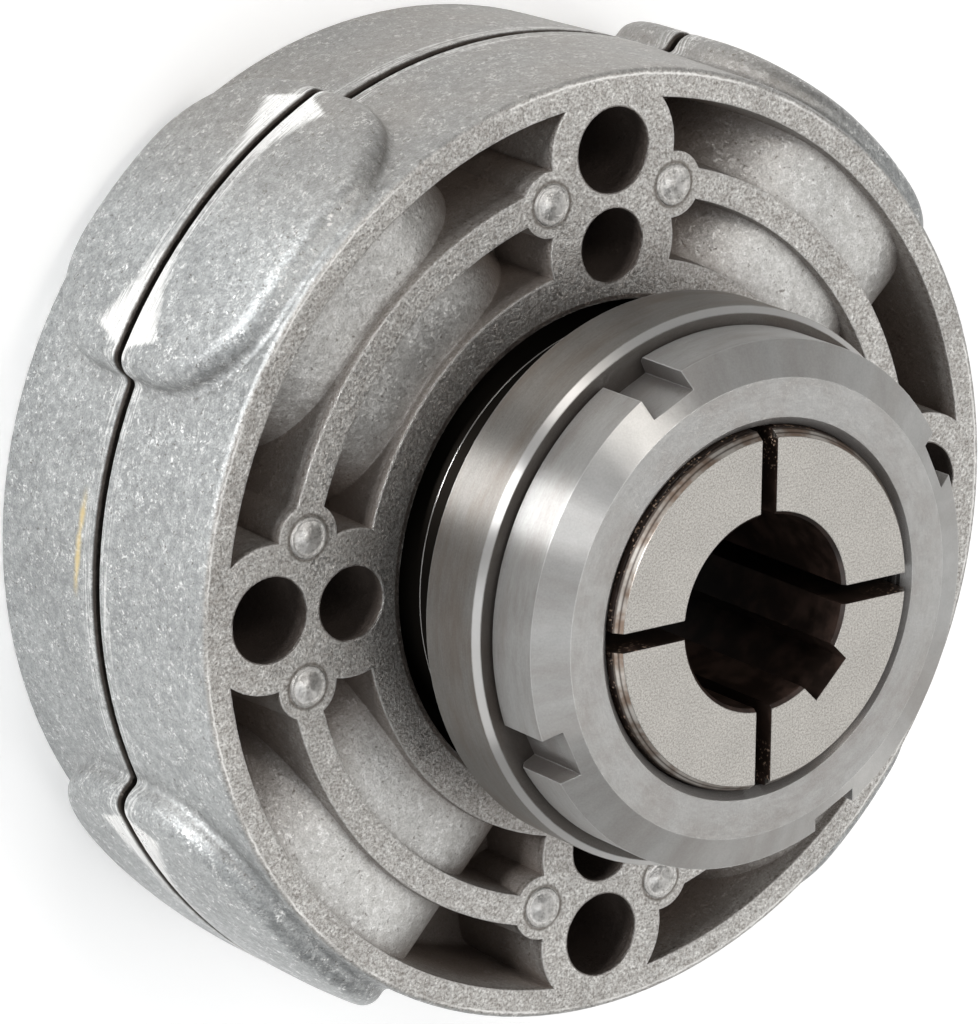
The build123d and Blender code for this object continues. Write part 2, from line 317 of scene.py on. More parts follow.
def combine(tree, x=0.0, y=0.0, z=0.0):
    made = put(tree, "CombineXYZ")
    for socket, value in zip(made.inputs, (x, y, z)):
        feed(tree, socket, value)
    return made.outputs["Vector"]


# %% Places on the coupling
RING_LEAN = 0.43


def plane_length(tree, one, two):
    """Length of a step of one along a plane's first axis and two along its second."""
    squares = calc(tree, "ADD", product(tree, one, one), product(tree, two, two))
    return calc(tree, "SQRT", squares)


class Spot:
    """Position in millimetres, height along the shaft, and distance from the shaft."""

    def __init__(self, tree):
        self.where = stretch(tree, put(tree, "TexCoord").outputs["Object"], 1 / MM)
        apart = put(tree, "SeparateXYZ")
        feed(tree, apart.inputs[0], self.where)
        self.x, self.y, self.height = apart.outputs["X"], apart.outputs["Y"], apart.outputs["Z"]
        self.across = plane_length(tree, self.x, self.y)


def drawn_round(tree, spot, girth):
    """Position with the way round the shaft shortened, so that patterns on it become rings."""
    level = vector_calc(tree, "MULTIPLY", spot.where, (1, 1, 0))
    ring = stretch(tree, vector_calc(tree, "NORMALIZE", level), girth)
    lift = combine(tree, z=calc(tree, "MULTIPLY_ADD", spot.across, RING_LEAN, spot.height))
    return vector_calc(tree, "ADD", ring, lift)


# %% [markdown]
# ## Relief, soft edges and hollows
# A bump node makes a pattern into relief without new faces. The bevel node bends the shading over
# a sharp edge as if it were rounded, and where it bends, an edge can be painted bright, as rubbed
# metal and as a painted highlight. Ambient occlusion tells how open a place is, so closed-in
# places can be darkened with soil and painted shade.
# Both look round each point with a few rays, and few are enough, because the picture itself is
# the mean of many samples.

# %% Relief, edges and hollows
EDGE_RAYS = 2


def bump(tree, height, depth, below=None):
    """Turns a height of 0 to 1 into a relief of depth millimetres."""
    made = put(tree, "Bump")
    made.inputs["Strength"].default_value = 1.0
    made.inputs["Distance"].default_value = depth * MM
    feed(tree, made.inputs["Height"], height)
    if below is not None:
        feed(tree, made.inputs["Normal"], below)
    return made.outputs["Normal"]


def soft_edge(tree, radius):
    """Normal of a rounded edge, radius in millimetres."""
    made = put(tree, "Bevel", samples=EDGE_RAYS)
    made.inputs["Radius"].default_value = radius * MM
    return made.outputs["Normal"]


def edge_share(tree, edge, start, end):
    """1 where the rounded normal leans well away from the flat one."""
    flat = put(tree, "NewGeometry").outputs["Normal"]
    return rise(tree, vector_calc(tree, "DOT_PRODUCT", edge, flat), start, end)


def openness(tree, distance, rays, own_shape_only=False):
    """1 in the open, and less where walls within the distance in millimetres close it in."""
    made = put(tree, "AmbientOcclusion", samples=rays, only_local=own_shape_only)
    made.inputs["Distance"].default_value = distance * MM
    return made.outputs["AO"]


def paint(node_name, finish):
    """Gives one of the solids its finish."""
    nodes[node_name].data.materials.clear()
    nodes[node_name].data.materials.append(finish)


# %% [markdown]
# ## Cast aluminium: the bare skin
# The housing halves come straight out of a die. Their skin is a light grey metal with a fine
# sparkling grain, soft edges and shallow hollows, and every corner is darkened brown, partly by
# the soil of years of handling and partly as painted shade. The outer wall is cleaner and cooler
# in tone than the ribbed face, whose top is as coarse as sand. The skin is built in layers, as a
# painter would: first the bare metal of each region, then its crystals, and dirt and painted shade
# last.
# region, then its crystals, and dirt last.

# %% Bare skin
FACE_HEIGHT = 55.0
WALL_RADIUS = 74.9
WALL_DARK, WALL_LIGHT = (0.29, 0.30, 0.302, 1), (0.45, 0.462, 0.462, 1)
DOME_DARK, DOME_LIGHT = (0.43, 0.425, 0.41, 1), (0.62, 0.617, 0.605, 1)
FACE_DARK, FACE_LIGHT = (0.25, 0.242, 0.226, 1), (0.76, 0.75, 0.73, 1)


class CastPatterns:
    """The clouds and grains of the casting, and its two regions, read by all its layers."""

    def __init__(self, tree, spot):
        self.broad = noise(tree, spot.where, 16.0, 2.0)
        self.mottle = noise(tree, spot.where, 1.5, 5.0, 0.72)
        self.grain = noise(tree, spot.where, 0.34, 3.0, 0.7)
        self.pebble = noise(tree, spot.where, 0.5, 3.0, 0.7)
        self.on_wall = rise(tree, spot.across, WALL_RADIUS - 0.3, WALL_RADIUS + 0.3)
        rib_top = rise(tree, spot.height, FACE_HEIGHT - 1.5, FACE_HEIGHT - 0.8)
        self.on_face = product(tree, rib_top, calc(tree, "SUBTRACT", 1.0, self.on_wall))


def bare_skin(tree, cast):
    """Clean metal: one pair of greys for the wall, one for the domes and one for the ribs."""
    blotch = rise(tree, cast.mottle, 0.3, 0.7)
    wall = tint(tree, blotch, WALL_DARK, WALL_LIGHT)
    dome = tint(tree, blotch, DOME_DARK, DOME_LIGHT)
    face = tint(tree, rise(tree, cast.pebble, 0.28, 0.72), FACE_DARK, FACE_LIGHT)
    colour = tint(tree, cast.on_wall, tint(tree, cast.on_face, dome, face), wall)
    for pattern, gain, least in ((cast.broad, 0.5, 0.75), (cast.grain, 1.3, 0.35)):
        shade = calc(tree, "MULTIPLY_ADD", pattern, gain, least)
        colour = tint(tree, 1.0, colour, shade, "MULTIPLY")
    return colour


# %% [markdown]
# ## Cast aluminium: crystals
# The metal froze in small crystals, and each lies its own way, so a few of them flash while those
# beside them stay dull. Each crystal tilts the surface a little its own way, and the lamps choose
# which ones flash, but the glinting ones are also painted near white, a painted highlight. The
# cells are swirled by a noise, so that they don't look like a net, and they lie in loose drifts.

# %% Crystals
CRYSTAL_SIZE = 0.40
SWIRL_SIZE = 0.9
SWIRL_REACH = (1.8, 1.8, 1.8)
CRYSTAL_GLINT_PAINT = (0.98, 0.98, 0.97, 1)


def crystals(tree, where):
    """The random colour of each crystal, the drifts, and the share of crystals that glint."""
    swirl = put(tree, "TexNoise")
    feed(tree, swirl.inputs["Vector"], where)
    swirl.inputs["Scale"].default_value = 1 / SWIRL_SIZE
    bent = vector_calc(tree, "MULTIPLY_ADD", swirl.outputs["Color"], SWIRL_REACH, where)
    crystal = grains(tree, bent, CRYSTAL_SIZE)
    drift = rise(tree, noise(tree, where, 3.0, 5.0, 0.8), 0.40, 0.66)
    return crystal, drift, product(tree, chosen(tree, crystal, 0.78, 0.92), drift)


def tilted_by(tree, normal, crystal, amount):
    """The normal, leaning by the amount towards each crystal's own side."""
    lean = vector_calc(tree, "SUBTRACT", crystal, (0.5, 0.5, 0.5))
    tilted = vector_calc(tree, "ADD", normal, stretch(tree, lean, amount))
    return vector_calc(tree, "NORMALIZE", tilted)


# %% [markdown]
# ## Cast aluminium: soil and painted shade
# Dirt has been rubbed into the pores. The corners of the windows are darkened brown, partly by
# settled dirt and partly as painted shade. The bolt holes and the housing's mouth are painted
# nearly black inside, a painted shade. The inner ring is brown, the ribs are stained where they
# have been handled, and the upper wall is painted darker and warmer, a painted shade. The coupling
# looks the same from each of its four pads, so a point is folded into one eighth of the circle by
# its longer and its shorter coordinate. Then one hole or one pin mark stands for all of them.

# %% Pores and corners
PORE_COLOUR = (0.09, 0.075, 0.06, 1)
SOIL_AND_SHADE_COLOUR = (0.120, 0.084, 0.062, 1)


def corner_soil_and_shade(tree, spot, cast, colour, open_share):
    """The colour with soil in its pores, corners darkened by soil and painted shade, and their
    share.
    """
    pore = rise(tree, noise(tree, spot.where, 0.8, 4.0, 0.7), 0.41, 0.31)
    colour = cover(tree, colour, pore, 0.7, PORE_COLOUR)
    patchy = calc(tree, "MULTIPLY_ADD", cast.mottle, 0.3, 0.80)
    # painted shade, partly soil: closed-in corners are darkened brown
    soil_and_shade = calc(tree, "MULTIPLY", rise(tree, open_share, 0.82, 0.15), patchy, clamp=True)
    return tint(tree, soil_and_shade, colour, SOIL_AND_SHADE_COLOUR), soil_and_shade


# %% Holes, films and pin marks, with painted shade
MOUTH_RADIUS = 39.5
HOLES = ((63.0, 6.7), (48.2, 5.8))
PIN_DISTANCE = 56.1
PIN_OFFSET = 11.6
HOLE_SHADE_PAINT = (0.045, 0.030, 0.023, 1)
RING_FILM = (0.13, 0.105, 0.09, 1)
HANDLED_COLOUR = (0.17, 0.145, 0.125, 1)
UPPER_WALL_SHADE = (0.24, 0.205, 0.17, 1)
PIN_SOIL = (0.10, 0.085, 0.07, 1)


def soiled_and_shaded(tree, spot, cast, colour):
    """The colour with painted shade in holes and on the upper wall, films on ring and ribs, pin
    soil.
    """
    sides = calc(tree, "ABSOLUTE", spot.x), calc(tree, "ABSOLUTE", spot.y)
    long_way, short_way = calc(tree, "MAXIMUM", *sides), calc(tree, "MINIMUM", *sides)

    def distance_from(along, aside):
        return plane_length(
            tree, calc(tree, "SUBTRACT", long_way, along), calc(tree, "SUBTRACT", short_way, aside)
        )

    # painted shade: the holes and the housing's mouth are painted nearly black inside
    hole_shade = rise(tree, spot.across, MOUTH_RADIUS + 0.9, MOUTH_RADIUS + 0.6)
    for distance, radius in HOLES:
        inside = rise(tree, distance_from(distance, 0.0), radius + 0.25, radius + 0.1)
        hole_shade = calc(tree, "MAXIMUM", hole_shade, inside)
    colour = cover(tree, colour, hole_shade, 0.86, HOLE_SHADE_PAINT)

    thick = calc(tree, "MULTIPLY_ADD", cast.broad, 0.45, 0.10)
    colour = cover(tree, colour, rise(tree, spot.across, 55.0, 42.0), thick, RING_FILM)
    handled = product(tree, rise(tree, cast.mottle, 0.32, 0.62), cast.on_face)
    colour = cover(tree, colour, handled, 0.40, HANDLED_COLOUR)
    # painted shade: the upper wall, towards +Y, is painted darker and warmer
    thick = calc(tree, "MULTIPLY_ADD", cast.broad, 0.6, 0.12)
    film = product(tree, rise(tree, spot.y, 50.0, 74.0), thick)
    colour = cover(tree, colour, film, cast.on_wall, UPPER_WALL_SHADE)

    pin_ring = between(tree, distance_from(PIN_DISTANCE, PIN_OFFSET), 3.25, 3.75, 0.25)
    return cover(tree, colour, pin_ring, 0.75, PIN_SOIL)


# %% [markdown]
# ## Cast aluminium: the turned lands
# The barrels stand out past the round wall, and a lathe has cut a bright band across them beside
# the joint. The band is thin in the middle of a barrel and widest near its two ends, with a ragged
# edge where the tool leaves the metal. Its whiteness is partly a painted reflection: the band is
# painted near white with less metal, and shows most near the ends. A solid could carry it as a
# flat, but it is thinner than a coat of paint, so the material draws it: its half width swells
# along the barrel, and a noise that is drawn out along the cut makes its edge ragged.

# %% Turned lands
LAND_RADIUS = 80.05
LAND_END = 21.0
LAND_DARK, LAND_SHINE_PAINT = (0.58, 0.575, 0.56, 1), (0.98, 0.975, 0.96, 1)


def turned_land(tree, spot, from_seam):
    """The land's colour, partly a painted reflection, and how much of it shows."""
    halves = [
        calc(tree, "ABSOLUTE", product(tree, calc(tree, kind, spot.x, spot.y), math.sqrt(0.5)))
        for kind in ("ADD", "SUBTRACT")
    ]
    along = calc(tree, "MINIMUM", *halves)
    share = calc(tree, "DIVIDE", along, LAND_END)
    swell = product(tree, calc(tree, "POWER", share, 2.2), rise(tree, share, 1.16, 1.00))
    half_width = calc(tree, "MULTIPLY_ADD", swell, 6.2, 1.7)
    cut = combine(tree, product(tree, spot.height, 3.2), product(tree, along, 0.22))
    brush = noise(tree, cut, 1.0, 3.0, 0.6)
    ragged = product(
        tree,
        calc(tree, "MULTIPLY_ADD", brush, 6.0, -3.0),
        calc(tree, "MULTIPLY_ADD", share, 0.8, 0.15),
    )
    inside = calc(tree, "SUBTRACT", calc(tree, "ADD", half_width, ragged), from_seam)
    raised = rise(tree, spot.across, LAND_RADIUS - 0.3, LAND_RADIUS)
    # painted reflection: the land shows more, and whiter, towards the barrel's ends
    end_shine_paint = calc(tree, "MULTIPLY_ADD", share, 0.65, 0.35, clamp=True)
    shown = product(tree, raised, rise(tree, inside, -0.4, 1.8), end_shine_paint)
    return tint(tree, rise(tree, brush, 0.25, 0.7), LAND_DARK, LAND_SHINE_PAINT), shown


# %% [markdown]
# ## Cast aluminium: marks beside the joint
# The halves meet in a joint that holds oily dirt. Fine bright lines run beside it where the tool
# has just touched the wall, and a thin yellow streak of old coolant has dried on the rear half.
# All three follow the height from the joint, so each is one soft step of that height.

# %% Marks beside the joint
COOLANT = (0.78, 0.62, 0.30, 1)
TOOL_LINE = (0.90, 0.90, 0.89, 1)
JOINT_DIRT = (0.042, 0.031, 0.024, 1)


def coolant_streak(tree, spot):
    """A slanting line on the -X side, about 14 mm long, with a wavy edge."""
    level = calc(tree, "MULTIPLY_ADD", spot.y, 0.075, 22.1)
    off = calc(tree, "ABSOLUTE", calc(tree, "SUBTRACT", spot.height, level))
    off = calc(tree, "MULTIPLY_ADD", noise(tree, spot.where, 3.0, 3.0, 0.6), 1.6, off)
    length = between(tree, spot.y, -1.0, 13.0, 2.5)
    return product(tree, rise(tree, off, 1.9, 0.7), length, rise(tree, spot.x, -70.0, -72.0))


def tool_lines(tree, spot, cast, from_seam):
    """Broken bright lines round the wall, on both sides of the joint."""
    lines = noise(tree, drawn_round(tree, spot, 2.0), 0.35, 2.0, 0.6)
    return product(
        tree,
        rise(tree, lines, 0.45, 0.62),
        between(tree, from_seam, 1.4, 3.6, 0.6),
        rise(tree, cast.mottle, 0.30, 0.55),
        cast.on_wall,
    )


# %% [markdown]
# ## Cast aluminium: rubbed and highlit edges
# Edges that stand proud are painted bright, partly as rubbed metal and partly as a painted
# highlight, and most of all the thin line where the rim of the front face meets the wall. The
# bevel node finds the edges. Only edges in the open are painted so, and only here and there, or
# the casting would look outlined with a pen.

# %% Rubbed edges and painted highlights
RIM_EDGE = 74.4
RUBBED_HIGHLIGHT_COLOUR = (0.92, 0.91, 0.89, 1)


def rubbed_and_highlit_edges(tree, spot, cast, edge, open_share, joint):
    """1 where an open edge is painted bright, as wear and painted highlight. None is in the joint.
    """
    rubbed_and_highlight = product(
        tree,
        edge_share(tree, edge, 0.985, 0.90),
        rise(tree, cast.mottle, 0.30, 0.60),
        rise(tree, open_share, 0.35, 0.6),
    )
    # painted highlight, partly wear: a thin bright line along the rim's outer edge
    wavy = calc(tree, "MULTIPLY_ADD", cast.mottle, 0.8, spot.across)
    rim_line = product(
        tree,
        between(tree, wavy, RIM_EDGE + 0.2, RIM_EDGE + 0.45, 0.2),
        rise(tree, spot.height, FACE_HEIGHT - 1.2, FACE_HEIGHT - 0.9),
        rise(tree, cast.broad, 0.35, 0.6),
    )
    rubbed_and_highlight = calc(tree, "MAXIMUM", rubbed_and_highlight, rim_line)
    return product(tree, rubbed_and_highlight, calc(tree, "SUBTRACT", 1.0, joint))


# %% [markdown]
# ## Cast aluminium: all its layers
# The layers are laid over each other from the bare metal outwards. Dirt is duller than metal and
# doesn't conduct, so the roughness goes up with the soil and painted shade of the corners, and the
# metallic share goes down. The relief goes from broad hollows to fine grain, each bump standing on
# the one before it.

# %% Cast aluminium
SEAM = 27.5
CORNER_REACH = 15
CAST_EDGE = 0.55
CAST_RAYS = 3


def cast_aluminium():
    finish, tree, shader = new_finish("cast_aluminium")
    spot = Spot(tree)
    cast = CastPatterns(tree, spot)
    from_seam = calc(tree, "ABSOLUTE", calc(tree, "SUBTRACT", spot.height, SEAM))
    open_share = openness(tree, CORNER_REACH, CAST_RAYS, own_shape_only=True)
    edge = soft_edge(tree, CAST_EDGE)
    crystal, drift, glint = crystals(tree, spot.where)
    land_colour, land = turned_land(tree, spot, from_seam)
    joint = rise(tree, from_seam, 1.25, 0.9)

    # painted highlight: the glinting crystals are painted near white
    colour = cover(tree, bare_skin(tree, cast), glint, 0.72, CRYSTAL_GLINT_PAINT)
    colour, soil_and_shade = corner_soil_and_shade(tree, spot, cast, colour, open_share)
    colour = soiled_and_shaded(tree, spot, cast, colour)
    colour = tint(tree, land, colour, land_colour)
    colour = cover(tree, colour, coolant_streak(tree, spot), 0.75, COOLANT)
    colour = cover(tree, colour, tool_lines(tree, spot, cast, from_seam), 0.6, TOOL_LINE)
    colour = cover(tree, colour, joint, 0.93, JOINT_DIRT)
    rubbed_and_highlight = rubbed_and_highlit_edges(tree, spot, cast, edge, open_share, joint)
    colour = cover(tree, colour, rubbed_and_highlight, 0.9, RUBBED_HIGHLIGHT_COLOUR)
    feed(tree, shader.inputs["Base Color"], colour)

    rough = calc(tree, "MULTIPLY_ADD", cast.mottle, 0.25, 0.34)
    rough = calc(tree, "SUBTRACT", rough, product(tree, glint, 0.15))
    rough = calc(tree, "ADD", rough, product(tree, soil_and_shade, 0.3))
    rough = calc(tree, "SUBTRACT", rough, product(tree, land, 0.15), clamp=True)
    feed(tree, shader.inputs["Roughness"], rough)
    metal = calc(tree, "MULTIPLY_ADD", soil_and_shade, -0.8, 0.85)
    # painted reflection: the land has less metal, so its near-white colour shows as bright
    metal = calc(tree, "SUBTRACT", metal, product(tree, land, 0.5), clamp=True)
    feed(tree, shader.inputs["Metallic"], metal)

    relief = bump(tree, cast.broad, 0.5, edge)
    relief = bump(tree, cast.mottle, 0.13, relief)
    relief = bump(tree, cast.grain, 0.05, relief)
    relief = bump(tree, product(tree, cast.pebble, cast.on_face), 0.13, relief)
    lean = calc(tree, "MULTIPLY_ADD", drift, 0.38, 0.07)
    feed(tree, shader.inputs["Normal"], tilted_by(tree, relief, crystal, lean))
    return finish


cast_finish = cast_aluminium()
for name in ("front_housing_half", "rear_housing_half"):
    paint(name, cast_finish)
print("cast aluminium has", len(cast_finish.node_tree.nodes), "nodes")

# %% [markdown]
# ## Turned steel
# The hub and the ring nut were turned on a lathe, which leaves fine rings round the shaft axis.
# The rings stretch every highlight across them, so the shader is anisotropic with its grain
# running round the axis, and a noise that is drawn out round the shaft gives the rings themselves.
# A flat end face would show two bright fans with such a shader, which the real faces don't have,
# so there each small grain points its own way. The hub's neck, behind the collar, is painted
# black, a painted shade for the dark gap round it. The chamfer on the collar's front is polished
# and painted light, partly a painted highlight.

# %% Turned steel
RING_SIZE = 0.22
STEEL_REACH = 9
STEEL_EDGE = 0.25
STEEL_RAYS = 2
STEEL_FILM = (0.19, 0.145, 0.115, 1)
STEEL_SOIL_AND_SHADE = (0.022, 0.014, 0.010, 1)
NECK_SHADE_PAINT = (0.014, 0.012, 0.010, 1)
POLISH_HIGHLIGHT_COLOUR = (0.80, 0.795, 0.785, 1)
STEEL_RUBBED_HIGHLIGHT = (0.85, 0.85, 0.84, 1)


def lathe_grain(tree, where):
    """Direction of the rings: round the shaft, but any way on a flat end face."""
    round_way = put(tree, "Tangent", direction_type="RADIAL", axis="Z").outputs[0]
    upright = put(tree, "SeparateXYZ")
    feed(tree, upright.inputs[0], put(tree, "NewGeometry").outputs["Normal"])
    flat = rise(tree, calc(tree, "ABSOLUTE", upright.outputs["Z"]), 0.93, 0.98)
    any_way = vector_calc(tree, "SUBTRACT", grains(tree, where, 0.12), (0.5, 0.5, 0.5))
    grain_way = put(tree, "Mix", data_type="VECTOR")
    feed(tree, grain_way.inputs[0], flat)
    feed(tree, grain_way.inputs[4], round_way)
    feed(tree, grain_way.inputs[5], any_way)
    return grain_way.outputs[1]


def turned_steel(name, dark, light, roughness, stain, black_below=None, chamfer=None):
    """Black shade below a height; a chamfer (low, high, least radius) polished, with painted
    highlight.
    """
    finish, tree, shader = new_finish(name)
    spot = Spot(tree)
    rings = noise(tree, drawn_round(tree, spot, 3.0), RING_SIZE, 3.0, 0.65)
    bands = noise(tree, drawn_round(tree, spot, 0.5), 2.6, 2.0, 0.5)
    film = noise(tree, drawn_round(tree, spot, 9.0), 3.5, 6.0, 0.66)
    fine = noise(tree, spot.where, 0.3, 2.0, 0.6)
    open_share = openness(tree, STEEL_REACH, STEEL_RAYS)
    # painted shade, partly soil: closed-in places such as the nut's slots are painted nearly black
    soil_and_shade = rise(tree, open_share, 0.90, 0.38)
    neck_shade = polish_and_highlight = 0.0
    # painted shade: the neck behind the collar is painted black
    if black_below is not None:
        neck_shade = rise(tree, spot.height, black_below + 0.2, black_below - 0.2)
        soil_and_shade = calc(tree, "MAXIMUM", soil_and_shade, neck_shade)
    # painted highlight, partly polish: the collar's chamfer is painted light
    if chamfer is not None:
        low, high, least = chamfer
        polish_and_highlight = product(
            tree,
            between(tree, spot.height, low, high, 0.06),
            rise(tree, spot.across, least - 0.06, least + 0.06),
        )

    share = calc(tree, "MULTIPLY_ADD", fine, 0.5, product(tree, rings, 0.5))
    colour = tint(tree, share, dark, light)
    colour = cover(tree, colour, rise(tree, film, 0.40, 0.72), stain, STEEL_FILM)
    colour = cover(tree, colour, soil_and_shade, 0.93, STEEL_SOIL_AND_SHADE)
    colour = cover(tree, colour, neck_shade, 0.96, NECK_SHADE_PAINT)
    colour = cover(tree, colour, polish_and_highlight, 0.6, POLISH_HIGHLIGHT_COLOUR)
    edge = soft_edge(tree, STEEL_EDGE)
    # painted highlight, partly wear: open edges of the steel are painted light
    rubbed_and_highlight = product(tree, edge_share(tree, edge, 0.99, 0.93), rise(tree, open_share, 0.4, 0.6))
    colour = cover(tree, colour, rubbed_and_highlight, 0.7, STEEL_RUBBED_HIGHLIGHT)
    feed(tree, shader.inputs["Base Color"], colour)

    rough = calc(tree, "MULTIPLY_ADD", bands, 0.12, roughness - 0.06)
    rough = calc(tree, "ADD", rough, product(tree, soil_and_shade, 0.3))
    rough = calc(tree, "SUBTRACT", rough, product(tree, polish_and_highlight, 0.15), clamp=True)
    feed(tree, shader.inputs["Roughness"], rough)
    metal = calc(tree, "MULTIPLY_ADD", soil_and_shade, -0.8, 1.0, clamp=True)
    feed(tree, shader.inputs["Metallic"], calc(tree, "MAXIMUM", metal, neck_shade))
    shader.inputs["Anisotropic"].default_value = 1.0
    shader.inputs["Anisotropic Rotation"].default_value = 0.25
    feed(tree, shader.inputs["Tangent"], lathe_grain(tree, spot.where))
    unpolished = product(tree, rings, calc(tree, "SUBTRACT", 1.0, polish_and_highlight))
    feed(tree, shader.inputs["Normal"], bump(tree, unpolished, 0.006, edge))
    return finish


# %% Hub and ring nut
COLLAR_BOTTOM = 66.6
COLLAR_CHAMFER = (78.85, 79.75, 42.6)

hub_steel = turned_steel(
    "turned_hub_steel", dark=(0.155, 0.146, 0.134, 1), light=(0.38, 0.367, 0.348, 1),
    roughness=0.49, stain=0.5, black_below=COLLAR_BOTTOM, chamfer=COLLAR_CHAMFER,
)
nut_steel = turned_steel(
    "turned_nut_steel", dark=(0.29, 0.287, 0.28, 1), light=(0.55, 0.547, 0.537, 1),
    roughness=0.38, stain=0.32,
)
paint("hub", hub_steel)
paint("ring_nut", nut_steel)
print("steel finishes:", hub_steel.name, nut_steel.name)

# %% [markdown]
# ## The matt sleeve
# The split sleeve has a dull, fine-grained face, as metal has after shot blasting. It is warmer
# than the steel round it. Oil has crept out of its slits, so its rim is brown, and dark lines run
# across it. Its bore is painted nearly black, a painted shade, its slits and corners darker still,
# partly with oil and partly as painted shade, and a few grains near the mouth are painted bright
# as glints. The face and the inside could be two materials, but then the line between them would
# be hard. One material that changes with the height fades from one to the other.

# %% Colours of the sleeve
SLEEVE_FACE = 93.9
SLEEVE_CHAMFER = 1.4
SLEEVE_FACE_RADIUS = 26.9
BLASTED_DARK, BLASTED_LIGHT = (0.31, 0.296, 0.272, 1), (0.57, 0.55, 0.52, 1)
RIM_DARK, RIM_LIGHT = (0.30, 0.22, 0.17, 1), (0.70, 0.66, 0.61, 1)
CHAMFER_DARK_LINES = (0.05, 0.032, 0.024, 1)
BORE_SHADE_DARK, BORE_SHADE_LIGHT = (0.014, 0.009, 0.007, 1), (0.045, 0.028, 0.022, 1)
SLIT_GLINT_PAINT = (0.55, 0.40, 0.30, 1)
OIL_AND_SHADE_COLOUR = (0.02, 0.013, 0.010, 1)


def blasted_face(tree, spot, grain):
    """Two warm greys in fine grain, a little cloudy."""
    colour = tint(tree, rise(tree, grain, 0.34, 0.66), BLASTED_DARK, BLASTED_LIGHT)
    shade = calc(tree, "MULTIPLY_ADD", noise(tree, spot.where, 6.0, 3.0, 0.5), 0.22, 0.89)
    return tint(tree, 1.0, colour, shade, "MULTIPLY")


def oily_rim_and_shaded_bore(tree, spot, on_chamfer):
    """Bore in painted shade, a streaked rim with dark lines, and painted glints near the mouth."""
    streak = noise(tree, spot.where, 4.0, 3.0, 0.6)
    rim = tint(tree, rise(tree, streak, 0.35, 0.65), RIM_DARK, RIM_LIGHT)
    down = calc(tree, "SUBTRACT", SLEEVE_FACE, spot.height)
    thin, low = between(tree, down, 0.55, 0.75, 0.12), rise(tree, down, 1.05, 1.25)
    # dark lines across the chamfer, at two heights below the face
    rim = cover(tree, rim, calc(tree, "MAXIMUM", thin, low), 0.8, CHAMFER_DARK_LINES)
    # painted shade: the bore is painted nearly black
    bore = tint(tree, rise(tree, streak, 0.4, 0.7), BORE_SHADE_DARK, BORE_SHADE_LIGHT)
    # painted highlight: a few grains in the slits near the mouth are painted bright
    slit_glint = product(
        tree,
        chosen(tree, grains(tree, spot.where, 0.28), 0.90, 0.95),
        calc(tree, "SUBTRACT", 1.0, on_chamfer),
        rise(tree, spot.across, 19.0, 24.0),
        rise(tree, spot.height, SLEEVE_FACE - 6.0, SLEEVE_FACE - 3.0),
    )
    return tint(tree, slit_glint, tint(tree, on_chamfer, bore, rim), SLIT_GLINT_PAINT)


# %% Matt sleeve
SLEEVE_REACH = 5
SLEEVE_EDGE = 0.2


def matt_sleeve():
    finish, tree, shader = new_finish("matt_sleeve")
    spot = Spot(tree)
    grain = noise(tree, spot.where, 0.30, 3.0, 0.8)
    on_face = rise(tree, spot.height, SLEEVE_FACE - 0.12, SLEEVE_FACE - 0.04)
    chamfer_foot = SLEEVE_FACE - SLEEVE_CHAMFER
    on_chamfer = product(
        tree,
        rise(tree, spot.height, chamfer_foot - 0.1, chamfer_foot + 0.1),
        rise(tree, spot.across, SLEEVE_FACE_RADIUS - 0.2, SLEEVE_FACE_RADIUS),
    )
    inside = oily_rim_and_shaded_bore(tree, spot, on_chamfer)
    colour = tint(tree, on_face, inside, blasted_face(tree, spot, grain))
    # painted shade, partly oil: closed-in places such as the slits are painted nearly black
    oil_and_shade = rise(tree, openness(tree, SLEEVE_REACH, STEEL_RAYS), 0.6, 0.15)
    feed(tree, shader.inputs["Base Color"], cover(tree, colour, oil_and_shade, 0.9, OIL_AND_SHADE_COLOUR))

    rough = calc(tree, "MULTIPLY_ADD", on_face, 0.24, 0.26)
    rough = calc(tree, "ADD", rough, product(tree, grain, 0.1))
    feed(tree, shader.inputs["Roughness"], rough)
    metal = calc(tree, "MAXIMUM", product(tree, on_face, 0.6), product(tree, on_chamfer, 0.9))
    feed(tree, shader.inputs["Metallic"], metal)
    relief = bump(tree, product(tree, grain, on_face), 0.05, soft_edge(tree, SLEEVE_EDGE))
    feed(tree, shader.inputs["Normal"], relief)
    return finish


sleeve_finish = matt_sleeve()
paint("clamping_sleeve", sleeve_finish)
print("matt sleeve has", len(sleeve_finish.node_tree.nodes), "nodes")

# %% [markdown]
# ## Dowels
# Four hollow dowels line up the two halves and are hidden in the joint between them. They are
# plain rolled steel with a thin brown film, so they take the turned steel with more stain.

# %% Dowel steel
DOWELS = 4

dowel_steel = turned_steel(
    "dowel_steel", dark=(0.28, 0.26, 0.24, 1), light=(0.42, 0.40, 0.38, 1),
    roughness=0.40, stain=0.7,
)
for number in range(1, DOWELS + 1):
    paint(f"hollow_dowel_{number}", dowel_steel)
print("dowels:", DOWELS)

# %% [markdown]
# ## Rubber cushions
# Each arm of the hub is held between two moulded rubber cushions. The solid that stands for a
# cushion has sharp edges, and real moulded rubber has none, so each is replaced by a copy of its
# own shape with rounded edges.

# %% Rubber finish
RUBBER_DARK, RUBBER_BLOOM = (0.012, 0.012, 0.012, 1), (0.045, 0.043, 0.040, 1)


